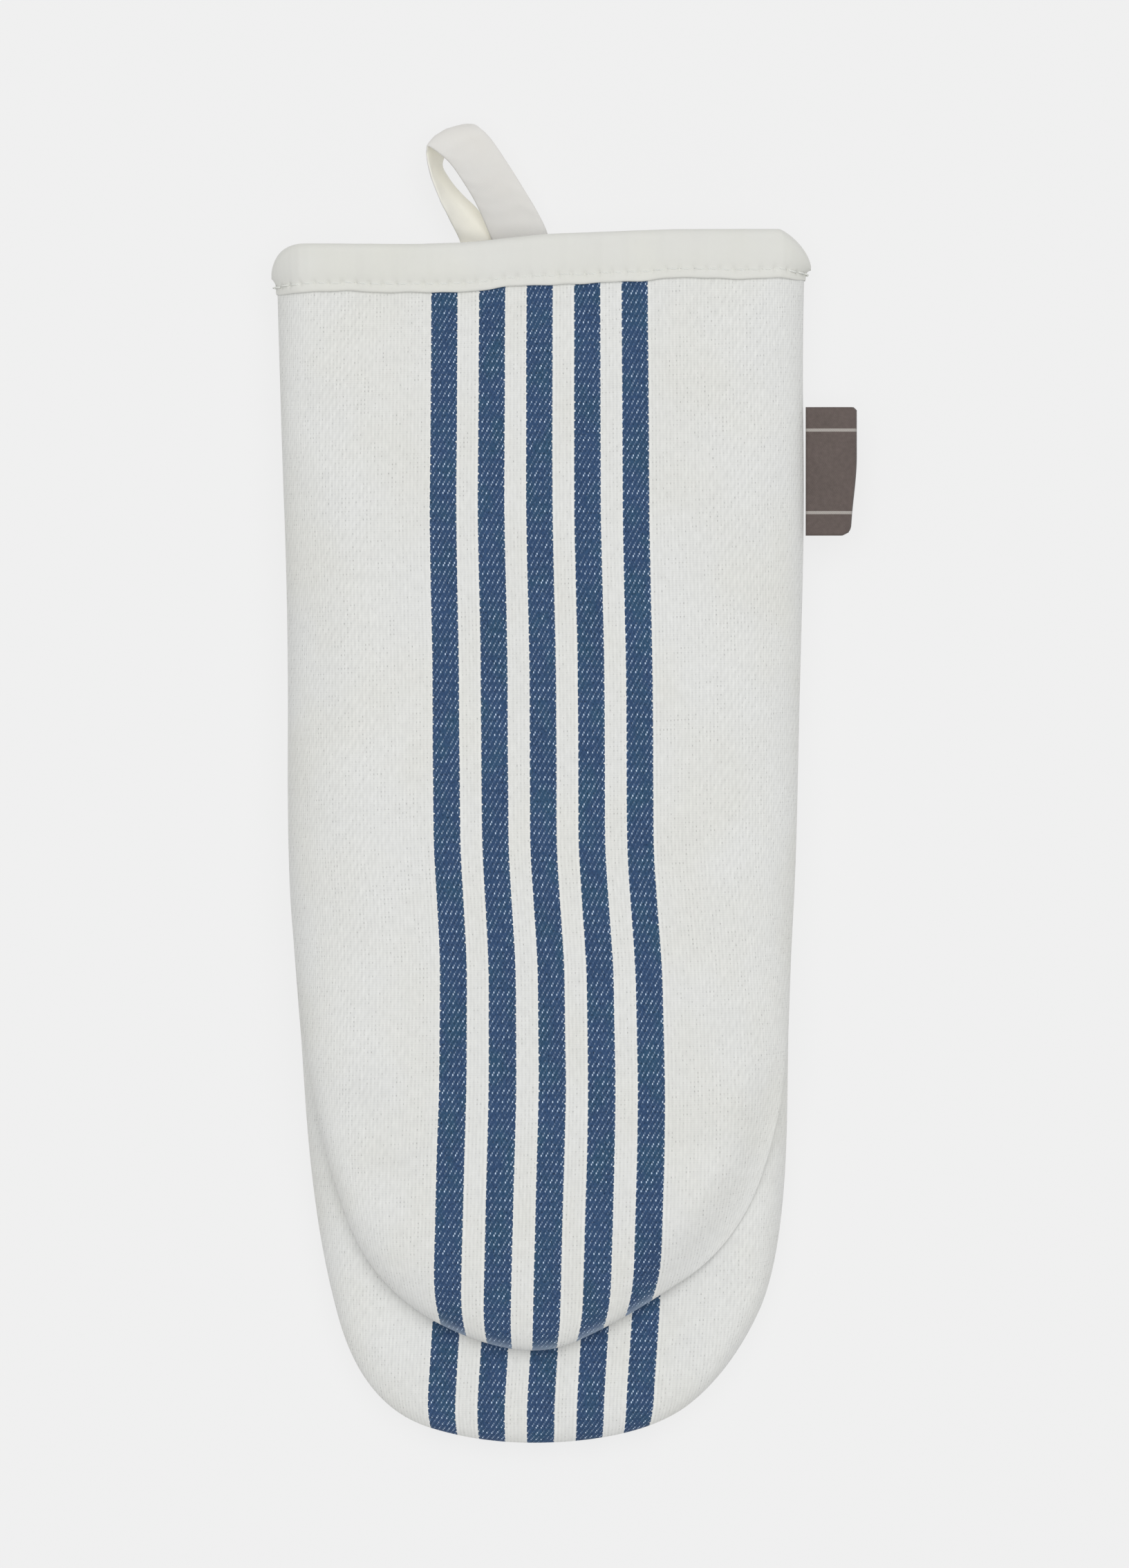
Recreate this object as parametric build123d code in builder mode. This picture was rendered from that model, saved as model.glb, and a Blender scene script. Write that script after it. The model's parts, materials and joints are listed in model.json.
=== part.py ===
"""Quilted oven mitt with a long finger pocket and a shorter thumb pocket that closes on it.

The mitt lies flat on its back: +X towards the side with the label, +Y towards the cuff, +Z up
towards the thumb pocket. The origin is at the centre of the footprint, on the resting face.
All dimensions are in millimetres.
"""
import os
from math import radians, tan

from build123d import *

# ---- Cloth thicknesses -------------------------------------------------------------------------
SHELL = 0.8  # woven outer cloth with its backing
PADDING = 3.0  # quilt batting
LINING = 0.5  # lining cloth
WALL = SHELL + PADDING + LINING
BINDING = 1.2  # folded binding tape, one side
CLEARANCE = 0.3  # between a moving pocket, loop or label and its neighbours

# ---- Heights -----------------------------------------------------------------------------------
FINGER_HEIGHT = 16.4  # finger pocket, lying flat
POCKET_GAP = 1.0  # slit between finger pocket and thumb pocket
MITT_HEIGHT = 33.0  # top of the thumb pocket
CUFF_LOW = BINDING  # cuff walls stand on the binding
CUFF_HIGH = 26.0  # top of the front wall at the cuff
RIM = 7.7  # rounding of the pillow-like sides
THUMB_LOW = FINGER_HEIGHT + POCKET_GAP
SIDE_SEAM_Z = 15.0
FINGER_SEAM_Z = FINGER_HEIGHT / 2
THUMB_SEAM_Z = (THUMB_LOW + MITT_HEIGHT) / 2

# ---- Lengths along Y ---------------------------------------------------------------------------
WEB_Y = -43.4  # fold of the palm, where the thumb pocket leaves the hand
FINGER_TIP_Y = -184.2
BINDING_Y = 139.9  # lower edge of the binding
CUFF_Y = 151.2  # raw edge of the walls, inside the binding
BINDING_TOP_Y = CUFF_Y + BINDING
POCKET_ROOT_Y = -30.0  # how far the pocket hollows reach into the hand
PAST = 6.0  # how far a cutting body runs past the face that it cuts

# ---- Motion ------------------------------------------------------------------------------------
THUMB_AXIS_Z = 24.0
THUMB_OPEN = 55.0  # degrees
CREASE_ANGLE = THUMB_OPEN + 2.0  # wedge of front wall that folds up as the thumb opens

# ---- Width of the hand along its length: y, left x, right x, low z, high z ------------------------
STATIONS = [
    (WEB_Y, -75.6, 63.6, 0.0, MITT_HEIGHT),
    (0.0, -77.0, 64.9, 0.0, 31.6),
    (68.0, -77.7, 66.8, 0.0, 29.2),
    (122.0, -79.5, 66.8, 0.0, 27.0),
    (BINDING_Y, -80.4, 67.2, CUFF_LOW, CUFF_HIGH),
    (CUFF_Y + PAST, -80.4, 67.2, CUFF_LOW, CUFF_HIGH),
]

# ---- Corners of the pocket outlines in plan, from the right side of the root to the left -------------
ARC_SHARE = 0.45  # part of the shorter run that each arc takes up
FINGER_CORNERS = [
    (63.6, POCKET_ROOT_Y),
    (60.7, -131.8),
    (46.6, -163.4),
    (23.1, -180.2),
    (-19.5, -185.9),
    (-55.3, -172.7),
    (-69.9, -126.1),
    (-75.6, POCKET_ROOT_Y),
]
THUMB_CORNERS = [
    (63.6, POCKET_ROOT_Y),
    (62.7, -91.0),
    (42.0, -133.0),
    (18.0, -150.0),
    (-11.0, -160.2),
    (-54.5, -140.5),
    (-68.6, -97.0),
    (-75.6, POCKET_ROOT_Y),
]

# ---- Loop and label ----------------------------------------------------------------------------
TAPE = 1.2  # thickness of the loop tape
LOOP_Y = BINDING_TOP_Y + 0.9  # where the loop leaves the cuff
LOOP_FOLD_INNER = 3.6  # open radius at the top of the loop
LOOP_LOW = CUFF_LOW + WALL + BINDING + CLEARANCE
LOOP_FOLD_LEFT = (-36.7, 174.5)
LOOP_FOLD_RIGHT = (-22.3, 179.7)
LOOP_BACK_LEG = (-29.1, -16.4)  # x span of the leg next to the back wall, at the cuff
LOOP_FRONT_LEG = (-19.8, -4.9)  # x span of the other leg
LOOP_END_LENGTH = 11.0  # sewn down inside the cuff
LABEL_X = 67.5
LABEL_END_X = 81.6
LABEL_Y = (69.2, 105.0)
LABEL_THICKNESS = 0.8
LABEL_CORNER = 3.0

# ---- Threads -----------------------------------------------------------------------------------
THREAD = 0.6
THREAD_INSET = 2.0  # seam thread, in from the outer face
STITCH_PITCH = 3.7
STITCH_LENGTH = 2.6
STITCH_ROW_Y = BINDING_Y + 2.3
BAR_TACK_ROWS = 7

os.makedirs("parts", exist_ok=True)


def save(piece, name):
    """Label a finished piece and write it."""
    piece.label = name
    export_step(piece, f"parts/{name}.step")


# ---- Outer forms, each at a depth inside the outer face -------------------------------------------
def hand_section(station, inset, core=None):
    """Rounded cross-section of the hand at one station; core is the depth of a hollow in it."""
    y, left, right, low, high = station
    middle = Plane.XZ.offset(-y).shift_origin(Vector((left + right) / 2, y, (low + high) / 2))
    with BuildSketch(middle) as section:
        RectangleRounded(right - left - 2 * inset, high - low - 2 * inset, RIM - inset)
        if core is not None:
            RectangleRounded(
                right - left - 2 * core, high - low - 2 * core, RIM - core, mode=Mode.SUBTRACT
            )
    return section.sketch


def hand_form(inset):
    """Flattened tube from the web to past the cuff."""
    web = (WEB_Y + inset,) + STATIONS[0][1:]
    with BuildPart() as form:
        add([hand_section(station, inset) for station in [web] + STATIONS[1:]])
        loft(ruled=True)
    return form.part


def soft_outline(*corners):
    """Plan of a pocket: each corner is rounded by as large an arc as its two runs allow."""
    radii = []
    for before, corner, after in zip(corners, corners[1:], corners[2:]):
        run_in = Vector(*corner) - Vector(*before)
        run_out = Vector(*after) - Vector(*corner)
        half_turn = radians(run_in.get_angle(run_out)) / 2
        radii.append(ARC_SHARE * min(run_in.length, run_out.length) / tan(half_turn))
    with BuildSketch() as outline:
        with BuildLine():
            FilletPolyline(*corners, radius=radii)
            Line(corners[-1], corners[0])
        make_face()
    return outline.sketch


def pocket_form(outline, low, high, inset):
    """Pillow over a plan outline, rounded all round except at its open root."""
    with BuildPart() as form:
        with BuildSketch(Plane.XY.offset(low + inset)):
            add(outline)
            if inset:
                offset(amount=-inset, kind=Kind.INTERSECTION)
        extrude(amount=high - low - 2 * inset)
        rims = form.faces().filter_by(Axis.Z).edges()
        root = rims.group_by(Axis.Y)[-1]
        fillet([edge for edge in rims if edge not in root], RIM - inset)
    return form.part


FINGER_OUTLINE = soft_outline(*FINGER_CORNERS)
THUMB_OUTLINE = soft_outline(*THUMB_CORNERS)


def mitt_form(inset):
    """Whole mitt at a depth inside its outer face, with the pockets open to the hand."""
    with BuildPart() as form:
        add(hand_form(inset))
        add(pocket_form(FINGER_OUTLINE, 0, FINGER_HEIGHT, inset))
        add(pocket_form(THUMB_OUTLINE, THUMB_LOW, MITT_HEIGHT, inset))
    return form.part



# ---- Regions that cut the layers into panels ----------------------------------------------------
def side_region(*outline):
    """Prism across the whole width over an outline of (y, z) points."""
    with BuildPart() as region:
        with BuildSketch(Plane.YZ):
            Polygon(*outline, align=None)
        extrude(amount=-FINGER_TIP_Y, both=True)
    return region.part


def crease_y(z):
    """Edge of the thumb pocket's front wall, cut back so that it can fold up without touching."""
    return THUMB_Y - (z - THUMB_AXIS_Z) * tan(radians(CREASE_ANGLE))


LOW = -PAST
HIGH = MITT_HEIGHT + PAST
TIP = FINGER_TIP_Y - PAST
THUMB_Y = WEB_Y - CLEARANCE
WEB_LEFT, WEB_RIGHT = STATIONS[0][1:3]

with BuildPart() as web_strip:
    with Locations(((WEB_LEFT + WEB_RIGHT) / 2, WEB_Y, (FINGER_SEAM_Z + THUMB_SEAM_Z) / 2)):
        Box(
            WEB_RIGHT - WEB_LEFT - 2 * WALL,
            WALL + CLEARANCE,
            THUMB_SEAM_Z - FINGER_SEAM_Z,
            align=(Align.CENTER, Align.MIN, Align.CENTER),
        )

finger_region = side_region(
    (TIP, FINGER_SEAM_Z), (TIP, FINGER_HEIGHT), (WEB_Y, FINGER_HEIGHT), (WEB_Y, FINGER_SEAM_Z)
)
back_region = side_region(
    (TIP, LOW),
    (TIP, FINGER_SEAM_Z),
    (WEB_Y, FINGER_SEAM_Z),
    (WEB_Y, SIDE_SEAM_Z),
    (CUFF_Y, SIDE_SEAM_Z),
    (CUFF_Y, LOW),
)
wrist_region = side_region(
    (WEB_Y, SIDE_SEAM_Z), (WEB_Y, HIGH), (CUFF_Y, HIGH), (CUFF_Y, SIDE_SEAM_Z)
)
crease_region = side_region(
    (WEB_Y, THUMB_AXIS_Z), (WEB_Y, HIGH), (crease_y(HIGH) + CLEARANCE, HIGH)
)
thumb_region = side_region(
    (TIP, THUMB_SEAM_Z),
    (crease_y(THUMB_SEAM_Z), THUMB_SEAM_Z),
    (crease_y(HIGH), HIGH),
    (TIP, HIGH),
)
palm_region = side_region(
    (TIP, THUMB_LOW),
    (TIP, THUMB_SEAM_Z),
    (crease_y(THUMB_SEAM_Z), THUMB_SEAM_Z),
    (THUMB_Y, THUMB_AXIS_Z),
    (THUMB_Y, THUMB_LOW),
)
REGIONS = {
    "back": back_region - web_strip.part,
    "front_wrist": wrist_region - web_strip.part,
    "front_crease": crease_region,
    "front_thumb": thumb_region,
    "palm_finger": finger_region + web_strip.part,
    "palm_thumb": palm_region,
}


# ---- Seam threads, buried in the padding --------------------------------------------------------
def pocket_thread(outline, seam_z, end_y):
    """Line of lockstitch round a pocket, from one side of its root to the other."""
    with BuildPart() as thread:
        with BuildSketch(Plane.XY.offset(seam_z - THREAD / 2)):
            offset(outline, amount=-THREAD_INSET, kind=Kind.INTERSECTION)
            offset(
                outline,
                amount=-THREAD_INSET - THREAD,
                kind=Kind.INTERSECTION,
                mode=Mode.SUBTRACT,
            )
        extrude(amount=THREAD)
        split(bisect_by=Plane.XZ.offset(-end_y), keep=Keep.TOP)
    return thread.part


def side_thread(column, direction):
    """Line of lockstitch down one side of the hand, at a depth from that side's outer face."""
    run = [(station[0], station[column]) for station in STATIONS[:-1]]
    run[0] = (WEB_Y + WALL, run[0][1])
    outer = [(x + direction * THREAD_INSET, y) for y, x in run]
    inner = [(x + direction * (THREAD_INSET + THREAD), y) for y, x in run]
    with BuildPart() as thread:
        with BuildSketch(Plane.XY.offset(SIDE_SEAM_Z - THREAD / 2)):
            Polygon(*outer, *reversed(inner), align=None)
        extrude(amount=THREAD)
    return thread.part


finger_thread = pocket_thread(FINGER_OUTLINE, FINGER_SEAM_Z, WEB_Y - 1)
thumb_thread = pocket_thread(THUMB_OUTLINE, THUMB_SEAM_Z, crease_y(THUMB_SEAM_Z) - 1)
side_threads = side_thread(1, 1) + side_thread(2, -1)

with BuildPart() as finger_seam_thread:
    add(finger_thread)
save(finger_seam_thread.part, "finger_seam_thread")

with BuildPart() as thumb_seam_thread:
    add(thumb_thread)
save(thumb_seam_thread.part, "thumb_seam_thread")

with BuildPart() as side_seam_thread:
    add(side_threads)
save(side_seam_thread.part, "side_seam_thread")

# ---- Panels: shell, padding and lining of the back, the front and the palm ---------------------------
LAYERS = {
    "shell": (0.0, SHELL),
    "padding": (SHELL, SHELL + PADDING),
    "lining": (SHELL + PADDING, WALL),
}
FORMS = {depth: mitt_form(depth) for depth in (0.0, SHELL, SHELL + PADDING, WALL)}

for layer, (outer, inner) in LAYERS.items():
    with BuildPart() as skin:
        add(FORMS[outer])
        add(FORMS[inner], mode=Mode.SUBTRACT)
    for panel, region in REGIONS.items():
        with BuildPart() as piece:
            add(skin.part)
            add(region, mode=Mode.INTERSECT)
            if layer == "padding":
                add([finger_thread, thumb_thread, side_threads], mode=Mode.SUBTRACT)
        save(piece.part, f"{panel}_{layer}")

# ---- Cuff binding and its stitches ----------------------------------------------------------------
def cuff_section(y, inset, core=None):
    """Cross-section of the cuff at y, grown or shrunk from the raw walls."""
    return hand_section((y,) + STATIONS[-1][1:], inset, core)


with BuildPart() as cuff_binding:
    extrude(cuff_section(BINDING_Y, -BINDING), amount=BINDING_Y - BINDING_TOP_Y)
    extrude(
        cuff_section(BINDING_Y, WALL + BINDING),
        amount=BINDING_Y - BINDING_TOP_Y,
        mode=Mode.SUBTRACT,
    )
    extrude(cuff_section(BINDING_Y, 0, WALL), amount=BINDING_Y - CUFF_Y, mode=Mode.SUBTRACT)
save(cuff_binding.part, "cuff_binding")

stitch_line = cuff_section(STITCH_ROW_Y, THREAD / 2 - BINDING).wires()[0]
stitch_count = round(stitch_line.length / STITCH_PITCH)
with BuildPart() as cuff_topstitch:
    with Locations(*stitch_line.locations([i / stitch_count for i in range(stitch_count)])):
        Cylinder(THREAD / 2, STITCH_LENGTH)
save(cuff_topstitch.part, "cuff_topstitch")

# ---- Hanging loop, its sewn ends and the bar tack --------------------------------------------------
FOLD_OUTER = LOOP_FOLD_INNER + TAPE
FOLD_Z = LOOP_LOW + FOLD_OUTER
LOOP_ROOT = Plane.XZ.offset(-LOOP_Y)
FOLD_LEFT = Vector(*LOOP_FOLD_LEFT, FOLD_Z)
FOLD_RIGHT = Vector(*LOOP_FOLD_RIGHT, FOLD_Z)
FOLD_MIDDLE = (FOLD_LEFT + FOLD_RIGHT) / 2
FOLD_AXIS = (FOLD_RIGHT - FOLD_LEFT).normalized()
FOLD_PLANE = Plane(FOLD_MIDDLE, x_dir=FOLD_AXIS, z_dir=FOLD_AXIS.cross(Vector(0, 0, 1)))
FOLD_WIDTH = (FOLD_RIGHT - FOLD_LEFT).length


def loop_leg(span, root_z, fold_side):
    """Tape from the cuff to the fold: span is its x span at the cuff."""
    fold_offset = fold_side * (LOOP_FOLD_INNER + TAPE / 2)
    with BuildPart() as leg:
        with BuildSketch(LOOP_ROOT.shift_origin(Vector(sum(span) / 2, LOOP_Y, root_z))):
            Rectangle(span[1] - span[0], TAPE)
        with BuildSketch(FOLD_PLANE.shift_origin(FOLD_MIDDLE + Vector(0, 0, fold_offset))):
            Rectangle(FOLD_WIDTH, TAPE)
        loft()
    return leg.part


with BuildPart() as hanging_loop:
    with BuildSketch(Plane(FOLD_LEFT, x_dir=FOLD_PLANE.z_dir, z_dir=FOLD_AXIS)):
        Circle(FOLD_OUTER)
        Circle(LOOP_FOLD_INNER, mode=Mode.SUBTRACT)
    extrude(amount=FOLD_WIDTH)
    split(bisect_by=FOLD_PLANE, keep=Keep.BOTTOM)
    add(loop_leg(LOOP_BACK_LEG, LOOP_LOW + TAPE / 2, -1))
    add(loop_leg(LOOP_FRONT_LEG, LOOP_LOW + 3 * TAPE / 2 + CLEARANCE, 1))
save(hanging_loop.part, "hanging_loop")

LOOP_AXIS_Y = LOOP_Y - CLEARANCE / 2
LOOP_AXIS_Z = LOOP_LOW + TAPE
LOOP_END_Y = LOOP_AXIS_Y - TAPE - CLEARANCE
with BuildPart() as hanging_loop_ends:
    for layer, (low_x, high_x) in enumerate((LOOP_BACK_LEG, LOOP_FRONT_LEG)):
        with Locations(((low_x + high_x) / 2, LOOP_END_Y, LOOP_LOW + layer * TAPE)):
            Box(high_x - low_x, LOOP_END_LENGTH, TAPE, align=(Align.CENTER, Align.MAX, Align.MIN))
save(hanging_loop_ends.part, "hanging_loop_ends")

tack_top = LOOP_LOW + 2 * TAPE
tack_pitch = (LOOP_FRONT_LEG[1] - LOOP_FRONT_LEG[0]) / BAR_TACK_ROWS
with BuildPart() as loop_bar_tack:
    with Locations((sum(LOOP_FRONT_LEG) / 2, LOOP_END_Y - LOOP_END_LENGTH / 2, tack_top)):
        with GridLocations(tack_pitch, 1, BAR_TACK_ROWS, 1):
            Cylinder(THREAD / 2, STITCH_LENGTH, rotation=(90, 0, 0))
save(loop_bar_tack.part, "loop_bar_tack")

# ---- Side label ----------------------------------------------------------------------------------
with BuildPart() as side_label:
    with BuildSketch(Plane.XY.offset(SIDE_SEAM_Z - LABEL_THICKNESS / 2)) as label_plan:
        with Locations((LABEL_X, LABEL_Y[0])):
            Rectangle(LABEL_END_X - LABEL_X, LABEL_Y[1] - LABEL_Y[0], align=Align.MIN)
        fillet(label_plan.vertices().group_by(Axis.Y)[0].sort_by(Axis.X)[-1], LABEL_CORNER)
    extrude(amount=LABEL_THICKNESS)
save(side_label.part, "side_label")
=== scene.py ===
"""Oven mitt: cloth, batting, lining, bound cuff, loop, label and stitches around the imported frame.

Lengths are in millimetres until a mesh is made; the frame and Blender are in metres. The mitt lies on
its back: +X towards the label, +Y towards the cuff, +Z up through the thumb pocket.
"""

import json
import math

import bpy
import numpy as np
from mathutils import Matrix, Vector


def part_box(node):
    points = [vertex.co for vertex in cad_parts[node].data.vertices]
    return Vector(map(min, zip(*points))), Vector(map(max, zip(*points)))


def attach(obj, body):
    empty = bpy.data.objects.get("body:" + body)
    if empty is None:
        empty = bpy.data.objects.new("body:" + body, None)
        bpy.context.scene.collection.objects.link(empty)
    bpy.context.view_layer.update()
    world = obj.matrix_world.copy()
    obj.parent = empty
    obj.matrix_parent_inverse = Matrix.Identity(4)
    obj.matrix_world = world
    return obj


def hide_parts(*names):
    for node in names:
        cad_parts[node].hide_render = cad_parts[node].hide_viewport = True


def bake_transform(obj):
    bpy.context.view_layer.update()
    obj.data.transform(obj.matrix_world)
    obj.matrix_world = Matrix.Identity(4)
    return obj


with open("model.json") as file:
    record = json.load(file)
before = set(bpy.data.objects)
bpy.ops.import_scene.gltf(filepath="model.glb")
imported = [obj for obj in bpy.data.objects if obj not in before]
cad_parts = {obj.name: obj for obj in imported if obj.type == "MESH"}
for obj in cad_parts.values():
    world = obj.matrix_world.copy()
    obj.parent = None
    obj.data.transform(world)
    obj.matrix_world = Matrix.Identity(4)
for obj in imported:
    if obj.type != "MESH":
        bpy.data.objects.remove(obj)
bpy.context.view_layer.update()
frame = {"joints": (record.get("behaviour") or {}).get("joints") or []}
MM = 0.001

# ---- Sizes read from the frame ----
JOINTS = {joint["name"]: joint for joint in frame["joints"]}


def corner(node, which, axis):
    """One coordinate of a CAD node's box, in millimetres: which is 0 for low and 1 for high."""
    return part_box(node)[which][axis] / MM


WEB_Y = JOINTS["thumb_open"]["pos_m"][1] / MM
CUFF_Y = corner("front_wrist_shell", 1, 1)
BINDING_Y = corner("cuff_binding", 0, 1)
BINDING_LOW = 1.8  # how far the binding lifts the back off the table at the cuff
TOP_Z = corner("front_thumb_shell", 1, 2)
THUMB_LOW_Z = corner("palm_thumb_shell", 0, 2)
FINGER_TOP_Z = 2 * corner("finger_seam_thread", 0, 2) + 0.6
FINGER_SEAM_Z = FINGER_TOP_Z / 2
THUMB_SEAM_Z = (TOP_Z + THUMB_LOW_Z) / 2
WEB_Z = (FINGER_TOP_Z + THUMB_LOW_Z) / 2
LABEL_Z = JOINTS["label_flap"]["pos_m"][2] / MM
LABEL_LOW_Y = corner("side_label", 0, 1)
LABEL_HIGH_Y = corner("side_label", 1, 1)
LABEL_END_X = corner("side_label", 1, 0)
LABEL_ROOT_X = corner("side_label", 0, 0)

# ---- Cloth ----
SHELL = 0.8
PADDING = 3.0
WALL = 4.3
LAYER_GAP = 0.04  # keeps neighbouring layers from sharing a surface
STRIPE_PITCH = 13.5
STRIPE_WIDTH = 7.45
STITCH_PITCH = 3.8
STITCH = 2.6
THREAD_RADIUS = 0.24
RING_LENGTH = 0.33  # between a stitch's rings, in cloth coordinates

# Plan outlines, right side of the cuff round the tip to the left side of the cuff. Each run of
# corners is rounded off as far as its neighbours allow, as in the CAD source.
RIGHT_SIDE = [(67.3, CUFF_Y), (66.3, 125), (67.0, 75), (65.5, 22), (64.6, -22), (62.9, -52)]
LEFT_SIDE = [(-75.0, -52), (-77.3, -20), (-77.0, 45), (-79.3, 105), (-80.4, CUFF_Y)]
FINGER_TIP = [(61.6, -132.0), (46.6, -163.6), (24.6, -181.8), (-19.5, -185.7), (-56.0, -174.2)]
FINGER_TIP += [(-69.9, -126.1)]
THUMB_TIP = [(61.6, -88), (49.0, -127.4), (16.5, -149.5), (-11.0, -161.5), (-53.0, -142.0)]
THUMB_TIP += [(-68.3, -100)]

# Where the centre stripe runs, as (y, x): the cloth is pulled a little askew at the web.
STRIPE_DRIFT = [(150, -6.9), (75, -7.0), (35, -6.1), (-18, -5.8), (-50, -3.7), (-85, -3.4)]
STRIPE_DRIFT += [(-140, -4.8), (-175, -5.6)]
PALM_DRIFT = [(150, -6.9), (-40, -4.5), (-140, -4.6), (-175, -6.8)]


def smooth(x, low, high):
    """0 before low, 1 after high, and an even S between; low may be the larger one."""
    t = np.clip((np.asarray(x, float) - low) / (high - low), 0, 1)
    return t * t * (3 - 2 * t)


def bell(x, width):
    """1 where x is 0, falling away evenly on both sides over that width."""
    return np.exp(-((x / width) ** 2))


def through(points, y):
    """Smooth curve through (y, value) points."""
    points = sorted(points)
    ys = np.array([p[0] for p in points], float)
    vs = np.array([p[1] for p in points], float)
    fine = np.linspace(ys[0], ys[-1], 400)
    values = np.interp(fine, ys, vs)
    kernel = np.hanning(33)
    padded = np.pad(values, 16, mode="edge")
    return np.interp(y, fine, np.convolve(padded, kernel / kernel.sum(), mode="valid"))


def lengths_along(line):
    """How far along a line of points each of them is."""
    return np.concatenate([[0], np.cumsum(np.linalg.norm(np.diff(line, axis=0), axis=1))])


def at_lengths(line, wanted):
    """Points at these lengths along a line of points."""
    length = lengths_along(line)
    return np.column_stack([np.interp(wanted, length, each) for each in line.T])


def soft_curve(corners, step):
    """Points every step along a curve that touches each run of the corners at its middle."""
    corners = np.array(corners, float)
    middles = (corners[1:] + corners[:-1]) / 2
    starts = np.vstack([corners[:1], middles[1:-1]])
    ends = np.vstack([middles[1:-1], corners[-1:]])
    t = np.linspace(0, 1, 40, endpoint=False)[:, None]
    arcs = [
        (1 - t) ** 2 * start + 2 * t * (1 - t) * bend + t**2 * end
        for start, bend, end in zip(starts, corners[1:-1], ends)
    ]
    fine = np.vstack(arcs + [corners[-1:]])
    total = lengths_along(fine)[-1]
    return at_lengths(fine, np.linspace(0, total, int(total / step)))


# ---- Soft random relief ----
def ripples(seed, shortest, longest, count=24):
    """Field of summed waves over the plan, between -1 and 1 or so; the same for the same seed."""
    random = np.random.RandomState(seed)
    length = np.exp(random.uniform(math.log(shortest), math.log(longest), count))
    angle = random.uniform(0, math.tau, count)
    phase = random.uniform(0, math.tau, count)
    size = length / length.sum()

    def field(x, y):
        total = 0
        for wave, turn, start, share in zip(length, angle, phase, size):
            total = total + share * np.sin(
                math.tau * (x * math.cos(turn) + y * math.sin(turn)) / wave + start
            )
        return 2.2 * total

    return field


broad = ripples(3, 40, 110)
medium = ripples(5, 14, 34)
fine_ripple = ripples(8, 5, 11)


# ---- Heights ----
SIDE_SEAM = [(CUFF_Y, 13.8), (112, LABEL_Z), (60, LABEL_Z), (WEB_Y, WEB_Z)]
RAMP = 38.0  # length over which the side seam parts into the finger seam and the thumb seam


def side_seam_z(y):
    return through(SIDE_SEAM, y)


def finger_seam_z(y):
    """Height of the back panel's edge."""
    ramp = smooth(y, WEB_Y, WEB_Y - RAMP)
    return np.where(y > WEB_Y, side_seam_z(y), WEB_Z + (FINGER_SEAM_Z - WEB_Z) * ramp)


def thumb_seam_z(y):
    """Height of the front panel's edge."""
    ramp = smooth(y, WEB_Y, WEB_Y - RAMP)
    high = THUMB_SEAM_Z - 2.2 - 3.4 * smooth(y, -80, -150)
    return np.where(y > WEB_Y, side_seam_z(y), WEB_Z + (high - WEB_Z) * ramp)


FRONT_HEIGHTS = [(CUFF_Y, 25.4), (122, 26.6), (68, 28.8), (0, 31.4), (WEB_Y, 32.6), (-90, 32.0)]
FRONT_HEIGHTS += [(-130, 30.0), (-160, 26.6)]


def front_top(x, y):
    """Outer face of the front panel away from its rim."""
    web_dip = -0.9 * bell(y - WEB_Y, 9.0) * smooth(np.abs(x + 6), 20, 65)
    puckers = 0.28 * np.sin(math.tau * x / 9.4 + 1.3 * broad(x, 0)) * smooth(y, 118, 140)
    return through(FRONT_HEIGHTS, y) + 1.1 * broad(x, y) + 0.35 * medium(x, y) + web_dip + puckers


SWELL_RIGHT, SWELL_LEFT = 3.8, 2.6


def side_swell(x, y):
    """Both palms rise where the finger pocket bulges up against the sides of the thumb pocket."""
    sides = SWELL_RIGHT * smooth(x, 18, 45) + SWELL_LEFT * smooth(x, -30, -58)
    return sides * smooth(y, -62, -92) * smooth(y, -146, -118)


def pressed(x, y):
    """1 where the right of the thumb pocket lies pressed down on the finger pocket, 0 elsewhere."""
    return smooth(x, 12, 42) * smooth(y, -60, -95)


def finger_top(x, y):
    """Upper face of the finger pocket's palm; only what the thumb pocket leaves free is crowned."""
    free = smooth(y, -132, -160)
    relief = free * (0.5 * medium(x + 40, y) + 0.4 * broad(x, y))
    return FINGER_TOP_Z + side_swell(x, y) - 2.6 * smooth(y, -150, -186) + relief


def thumb_low(x, y):
    """Under face of the thumb pocket."""
    return THUMB_LOW_Z + side_swell(x, y)


def back_low(x, y):
    """The back lies on the table, and lifts a little where the binding thickens the cuff."""
    return BINDING_LOW * smooth(y, 122, BINDING_Y)


# ---- Panels ----
def stripe_pitch(y):
    """Distance between stripes: it widens below the web and narrows a little towards the cuff."""
    return 13.4 + 0.45 * smooth(y, -20, -110) - 0.2 * smooth(y, 60, 140)


def distance_to(curve, points):
    """Distance from each point to an open curve, and the unit direction towards it."""
    start, run = curve[:-1], np.diff(curve, axis=0)
    best = np.full(len(points), 1e9)
    towards = np.zeros((len(points), 2))
    for a, ab in zip(start, run):
        t = np.clip(((points - a) @ ab) / (ab @ ab), 0, 1)
        gap = a + t[:, None] * ab - points
        size = np.linalg.norm(gap, axis=1)
        closer = size < best
        best[closer] = size[closer]
        outward = np.array([-ab[1], ab[0]]) / np.linalg.norm(ab)
        direction = np.where(size[:, None] > 0.05, gap / np.maximum(size, 1e-9)[:, None], outward)
        towards[closer] = direction[closer]
    return best, towards


# What being pressed does to a panel's rim there: how much wider it gets in millimetres, and how far
# its round edge gives way to an even slope.
ROUND_RIM = (0.0, 0.0)
PRESSED_FRONT = (0.0, 0.9)
PRESSED_PALM = (8.5, 0.9)
FILLED_OUT = (-5.8, 0.0)


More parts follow.
